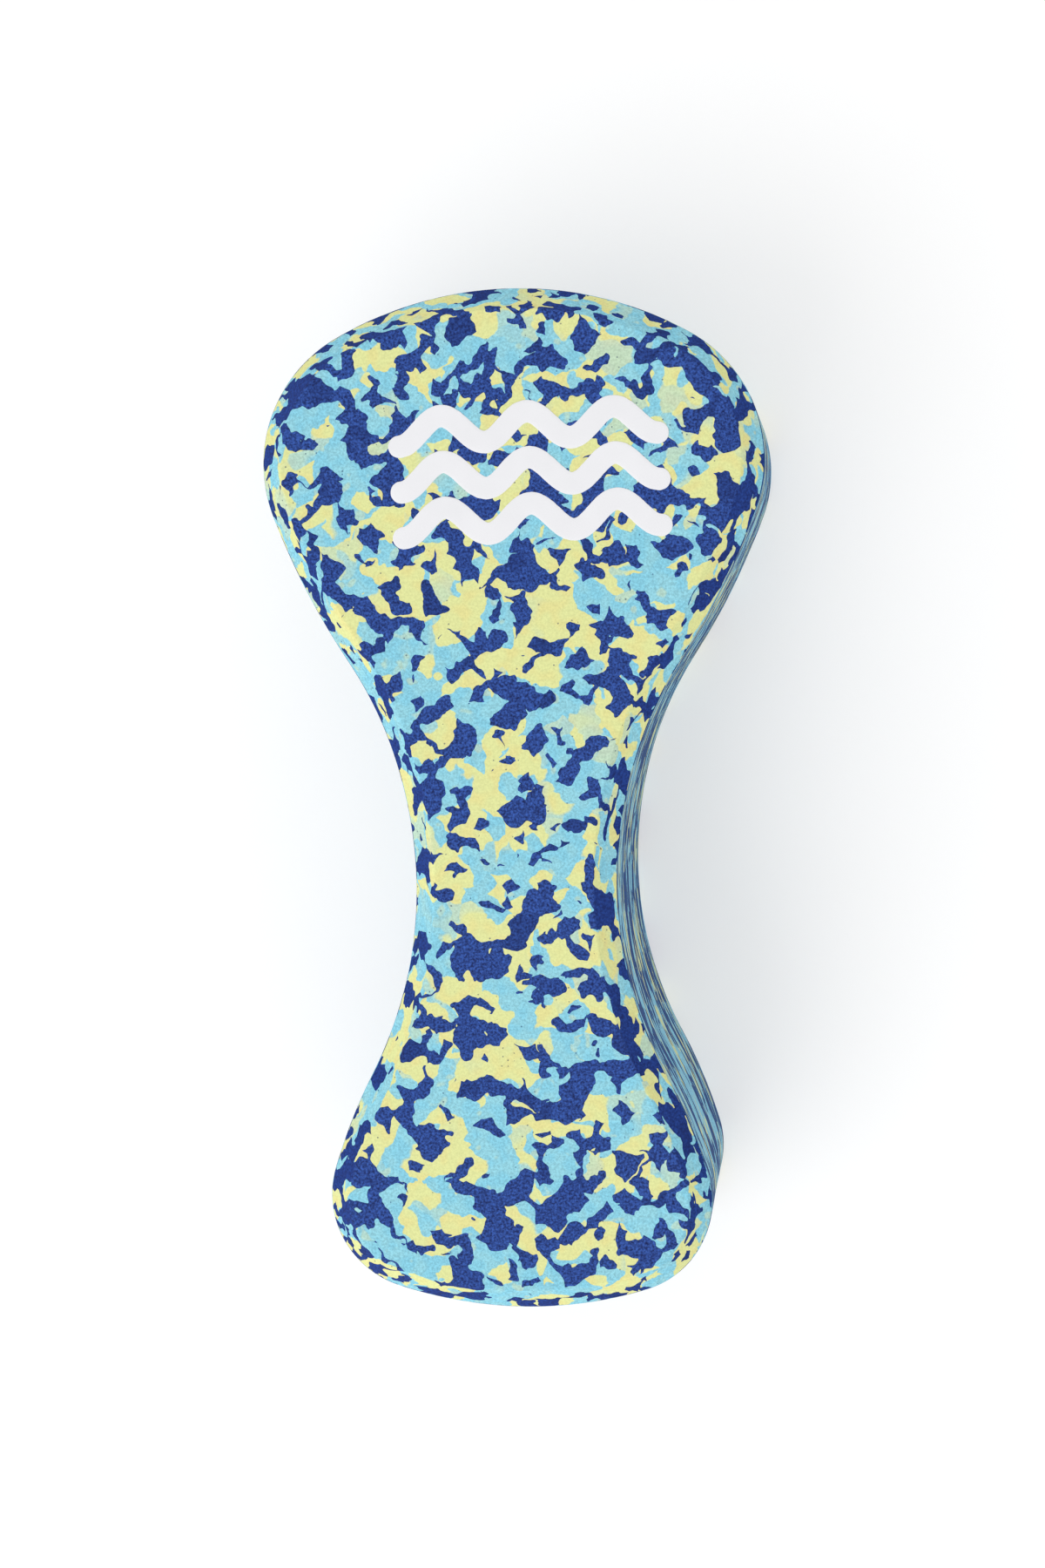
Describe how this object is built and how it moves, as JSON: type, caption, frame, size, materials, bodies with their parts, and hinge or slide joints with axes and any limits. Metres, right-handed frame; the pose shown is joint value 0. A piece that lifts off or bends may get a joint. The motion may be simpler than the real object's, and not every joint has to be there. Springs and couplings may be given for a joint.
{
  "type": "pull buoy",
  "caption": "Swimmer's leg float of marbled EVA foam slabs, broad lobe, narrow thigh waist and small lobe, flat chamfered faces, with a printed wave mark.",
  "frame": {"origin": "centre of the back face's plane, under the middle of the overall box, where the float rests when it lies on its back", "axes": "+X across the width, +Y along the length towards the broad lobe, +Z through the thickness towards the printed front face"},
  "size_m": [0.1228, 0.25, 0.0804],
  "materials": {
    "marbled_foam": "matte",
    "adhesive": "satin",
    "white_ink": "matte"
  },
  "bodies": {
    "root": {"back_slab": "marbled_foam", "core_slab": "marbled_foam", "front_slab": "marbled_foam", "back_adhesive_film": "adhesive", "front_adhesive_film": "adhesive", "printed_wave_1": "white_ink", "printed_wave_2": "white_ink", "printed_wave_3": "white_ink"}
  },
  "joints": []
}
